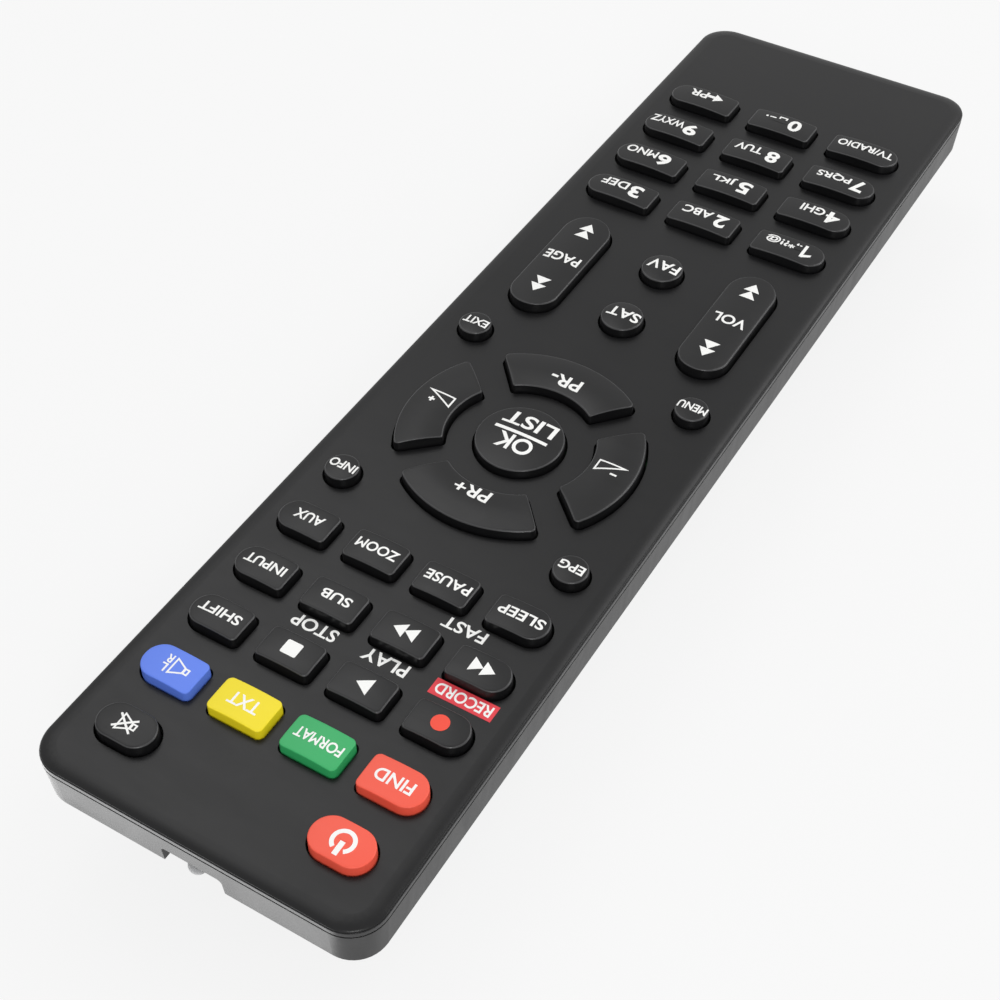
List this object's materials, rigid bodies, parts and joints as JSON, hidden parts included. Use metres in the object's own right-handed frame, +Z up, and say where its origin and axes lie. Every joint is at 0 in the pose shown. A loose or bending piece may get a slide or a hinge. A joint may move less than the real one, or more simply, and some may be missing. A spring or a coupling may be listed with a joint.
{
  "type": "remote control",
  "caption": "Slim black hand-held infrared remote control with rubber keys, a direction ring, number pad and two rocker keys",
  "frame": {"origin": "under the middle of the casing, on the face that it rests on", "axes": "x across the keys, y along the casing towards the infrared emitter, z up through the keys"},
  "size_m": [0.045, 0.171, 0.0195],
  "materials": {
    "shell_plastic": "fine satin texture",
    "body_plastic": "fine satin texture",
    "cover_plastic": "fine satin texture",
    "key_rubber": "smooth satin silicone",
    "key_rubber_red": "smooth satin silicone",
    "key_rubber_green": "smooth satin silicone",
    "key_rubber_yellow": "smooth satin silicone",
    "key_rubber_blue": "smooth satin silicone",
    "keypad_rubber": "matte silicone",
    "board_laminate": "laminate with green mask",
    "carbon_film": "printed carbon",
    "zinc_steel": "zinc plated",
    "nickel_steel": "nickel plated",
    "cell_wrapper": "printed wrapper",
    "emitter_resin": "clear moulded resin",
    "tinned_leads": "tinned",
    "chip_epoxy": "moulded epoxy",
    "resonator_coat": "dipped coat",
    "capacitor_sleeve": "shrunk sleeve",
    "chip_ceramic": "glazed ceramic"
  },
  "bodies": {
    "casing": {"top_shell": "shell_plastic", "bottom_shell": "body_plastic", "keypad_mat": "keypad_rubber", "circuit_board": "board_laminate", "contact_pads": "carbon_film", "screws": "zinc_steel", "battery_left": "cell_wrapper", "battery_right": "cell_wrapper", "battery_springs": "nickel_steel", "battery_plates": "nickel_steel", "ir_emitter": "emitter_resin", "emitter_leads": "tinned_leads", "control_chip": "chip_epoxy", "resonator": "resonator_coat", "capacitor": "capacitor_sleeve", "chip_parts": "chip_ceramic"},
    "cover": {"battery_cover": "cover_plastic"},
    "key_power": {"key_power": "key_rubber_red"},
    "key_mute": {"key_mute": "key_rubber"},
    "key_red": {"key_red": "key_rubber_red"},
    "key_green": {"key_green": "key_rubber_green"},
    "key_yellow": {"key_yellow": "key_rubber_yellow"},
    "key_blue": {"key_blue": "key_rubber_blue"},
    "key_record": {"key_record": "key_rubber"},
    "key_play": {"key_play": "key_rubber"},
    "key_stop": {"key_stop": "key_rubber"},
    "key_shift": {"key_shift": "key_rubber"},
    "key_rewind": {"key_rewind": "key_rubber"},
    "key_forward": {"key_forward": "key_rubber"},
    "key_subtitle": {"key_subtitle": "key_rubber"},
    "key_source": {"key_source": "key_rubber"},
    "key_sleep": {"key_sleep": "key_rubber"},
    "key_pause": {"key_pause": "key_rubber"},
    "key_zoom": {"key_zoom": "key_rubber"},
    "key_input": {"key_input": "key_rubber"},
    "key_guide": {"key_guide": "key_rubber"},
    "key_info": {"key_info": "key_rubber"},
    "key_menu": {"key_menu": "key_rubber"},
    "key_exit": {"key_exit": "key_rubber"},
    "key_ok": {"key_ok": "key_rubber"},
    "key_channel_up": {"key_channel_up": "key_rubber"},
    "key_volume_down": {"key_volume_down": "key_rubber"},
    "key_channel_down": {"key_channel_down": "key_rubber"},
    "key_volume_up": {"key_volume_up": "key_rubber"},
    "key_satellite": {"key_satellite": "key_rubber"},
    "key_favourite": {"key_favourite": "key_rubber"},
    "key_volume_rocker": {"key_volume_rocker": "key_rubber"},
    "key_page_rocker": {"key_page_rocker": "key_rubber"},
    "key_digit_0": {"key_digit_0": "key_rubber"},
    "key_digit_1": {"key_digit_1": "key_rubber"},
    "key_digit_2": {"key_digit_2": "key_rubber"},
    "key_digit_3": {"key_digit_3": "key_rubber"},
    "key_digit_4": {"key_digit_4": "key_rubber"},
    "key_digit_5": {"key_digit_5": "key_rubber"},
    "key_digit_6": {"key_digit_6": "key_rubber"},
    "key_digit_7": {"key_digit_7": "key_rubber"},
    "key_digit_8": {"key_digit_8": "key_rubber"},
    "key_digit_9": {"key_digit_9": "key_rubber"},
    "key_tv_radio": {"key_tv_radio": "key_rubber"},
    "key_previous": {"key_previous": "key_rubber"}
  },
  "joints": [
    {"name": "slide_cover", "type": "slide", "parent": "casing", "child": "cover", "axis": [0, -1, 0], "range_m": [0, 0.045]},
    {"name": "press_power", "type": "slide", "parent": "casing", "child": "key_power", "axis": [0, 0, -1], "range_m": [0, 0.0008], "stiffness_N_per_m": 1500},
    {"name": "press_mute", "type": "slide", "parent": "casing", "child": "key_mute", "axis": [0, 0, -1], "range_m": [0, 0.0008], "stiffness_N_per_m": 1500},
    {"name": "press_red", "type": "slide", "parent": "casing", "child": "key_red", "axis": [0, 0, -1], "range_m": [0, 0.0008], "stiffness_N_per_m": 1500},
    {"name": "press_green", "type": "slide", "parent": "casing", "child": "key_green", "axis": [0, 0, -1], "range_m": [0, 0.0008], "stiffness_N_per_m": 1500},
    {"name": "press_yellow", "type": "slide", "parent": "casing", "child": "key_yellow", "axis": [0, 0, -1], "range_m": [0, 0.0008], "stiffness_N_per_m": 1500},
    {"name": "press_blue", "type": "slide", "parent": "casing", "child": "key_blue", "axis": [0, 0, -1], "range_m": [0, 0.0008], "stiffness_N_per_m": 1500},
    {"name": "press_record", "type": "slide", "parent": "casing", "child": "key_record", "axis": [0, 0, -1], "range_m": [0, 0.0008], "stiffness_N_per_m": 1500},
    {"name": "press_play", "type": "slide", "parent": "casing", "child": "key_play", "axis": [0, 0, -1], "range_m": [0, 0.0008], "stiffness_N_per_m": 1500},
    {"name": "press_stop", "type": "slide", "parent": "casing", "child": "key_stop", "axis": [0, 0, -1], "range_m": [0, 0.0008], "stiffness_N_per_m": 1500},
    {"name": "press_shift", "type": "slide", "parent": "casing", "child": "key_shift", "axis": [0, 0, -1], "range_m": [0, 0.0008], "stiffness_N_per_m": 1500},
    {"name": "press_rewind", "type": "slide", "parent": "casing", "child": "key_rewind", "axis": [0, 0, -1], "range_m": [0, 0.0008], "stiffness_N_per_m": 1500},
    {"name": "press_forward", "type": "slide", "parent": "casing", "child": "key_forward", "axis": [0, 0, -1], "range_m": [0, 0.0008], "stiffness_N_per_m": 1500},
    {"name": "press_subtitle", "type": "slide", "parent": "casing", "child": "key_subtitle", "axis": [0, 0, -1], "range_m": [0, 0.0008], "stiffness_N_per_m": 1500},
    {"name": "press_source", "type": "slide", "parent": "casing", "child": "key_source", "axis": [0, 0, -1], "range_m": [0, 0.0008], "stiffness_N_per_m": 1500},
    {"name": "press_sleep", "type": "slide", "parent": "casing", "child": "key_sleep", "axis": [0, 0, -1], "range_m": [0, 0.0008], "stiffness_N_per_m": 1500},
    {"name": "press_pause", "type": "slide", "parent": "casing", "child": "key_pause", "axis": [0, 0, -1], "range_m": [0, 0.0008], "stiffness_N_per_m": 1500},
    {"name": "press_zoom", "type": "slide", "parent": "casing", "child": "key_zoom", "axis": [0, 0, -1], "range_m": [0, 0.0008], "stiffness_N_per_m": 1500},
    {"name": "press_input", "type": "slide", "parent": "casing", "child": "key_input", "axis": [0, 0, -1], "range_m": [0, 0.0008], "stiffness_N_per_m": 1500},
    {"name": "press_guide", "type": "slide", "parent": "casing", "child": "key_guide", "axis": [0, 0, -1], "range_m": [0, 0.0008], "stiffness_N_per_m": 1500},
    {"name": "press_info", "type": "slide", "parent": "casing", "child": "key_info", "axis": [0, 0, -1], "range_m": [0, 0.0008], "stiffness_N_per_m": 1500},
    {"name": "press_menu", "type": "slide", "parent": "casing", "child": "key_menu", "axis": [0, 0, -1], "range_m": [0, 0.0008], "stiffness_N_per_m": 1500},
    {"name": "press_exit", "type": "slide", "parent": "casing", "child": "key_exit", "axis": [0, 0, -1], "range_m": [0, 0.0008], "stiffness_N_per_m": 1500},
    {"name": "press_ok", "type": "slide", "parent": "casing", "child": "key_ok", "axis": [0, 0, -1], "range_m": [0, 0.0008], "stiffness_N_per_m": 1500},
    {"name": "press_channel_up", "type": "slide", "parent": "casing", "child": "key_channel_up", "axis": [0, 0, -1], "range_m": [0, 0.0008], "stiffness_N_per_m": 1500},
    {"name": "press_volume_down", "type": "slide", "parent": "casing", "child": "key_volume_down", "axis": [0, 0, -1], "range_m": [0, 0.0008], "stiffness_N_per_m": 1500},
    {"name": "press_channel_down", "type": "slide", "parent": "casing", "child": "key_channel_down", "axis": [0, 0, -1], "range_m": [0, 0.0008], "stiffness_N_per_m": 1500},
    {"name": "press_volume_up", "type": "slide", "parent": "casing", "child": "key_volume_up", "axis": [0, 0, -1], "range_m": [0, 0.0008], "stiffness_N_per_m": 1500},
    {"name": "press_satellite", "type": "slide", "parent": "casing", "child": "key_satellite", "axis": [0, 0, -1], "range_m": [0, 0.0008], "stiffness_N_per_m": 1500},
    {"name": "press_favourite", "type": "slide", "parent": "casing", "child": "key_favourite", "axis": [0, 0, -1], "range_m": [0, 0.0008], "stiffness_N_per_m": 1500},
    {"name": "tilt_volume_rocker", "type": "hinge", "parent": "casing", "child": "key_volume_rocker", "pos_m": [-0.01303, -0.0168, 0.0166], "axis": [1, 0, 0], "range_deg": [-3.5, 3.5], "stiffness_Nm_per_rad": 0.15},
    {"name": "tilt_page_rocker", "type": "hinge", "parent": "casing", "child": "key_page_rocker", "pos_m": [0.01303, -0.0168, 0.0166], "axis": [1, 0, 0], "range_deg": [-3.5, 3.5], "stiffness_Nm_per_rad": 0.15},
    {"name": "press_digit_0", "type": "slide", "parent": "casing", "child": "key_digit_0", "axis": [0, 0, -1], "range_m": [0, 0.0008], "stiffness_N_per_m": 1500},
    {"name": "press_digit_1", "type": "slide", "parent": "casing", "child": "key_digit_1", "axis": [0, 0, -1], "range_m": [0, 0.0008], "stiffness_N_per_m": 1500},
    {"name": "press_digit_2", "type": "slide", "parent": "casing", "child": "key_digit_2", "axis": [0, 0, -1], "range_m": [0, 0.0008], "stiffness_N_per_m": 1500},
    {"name": "press_digit_3", "type": "slide", "parent": "casing", "child": "key_digit_3", "axis": [0, 0, -1], "range_m": [0, 0.0008], "stiffness_N_per_m": 1500},
    {"name": "press_digit_4", "type": "slide", "parent": "casing", "child": "key_digit_4", "axis": [0, 0, -1], "range_m": [0, 0.0008], "stiffness_N_per_m": 1500},
    {"name": "press_digit_5", "type": "slide", "parent": "casing", "child": "key_digit_5", "axis": [0, 0, -1], "range_m": [0, 0.0008], "stiffness_N_per_m": 1500},
    {"name": "press_digit_6", "type": "slide", "parent": "casing", "child": "key_digit_6", "axis": [0, 0, -1], "range_m": [0, 0.0008], "stiffness_N_per_m": 1500},
    {"name": "press_digit_7", "type": "slide", "parent": "casing", "child": "key_digit_7", "axis": [0, 0, -1], "range_m": [0, 0.0008], "stiffness_N_per_m": 1500},
    {"name": "press_digit_8", "type": "slide", "parent": "casing", "child": "key_digit_8", "axis": [0, 0, -1], "range_m": [0, 0.0008], "stiffness_N_per_m": 1500},
    {"name": "press_digit_9", "type": "slide", "parent": "casing", "child": "key_digit_9", "axis": [0, 0, -1], "range_m": [0, 0.0008], "stiffness_N_per_m": 1500},
    {"name": "press_tv_radio", "type": "slide", "parent": "casing", "child": "key_tv_radio", "axis": [0, 0, -1], "range_m": [0, 0.0008], "stiffness_N_per_m": 1500},
    {"name": "press_previous", "type": "slide", "parent": "casing", "child": "key_previous", "axis": [0, 0, -1], "range_m": [0, 0.0008], "stiffness_N_per_m": 1500}
  ]
}
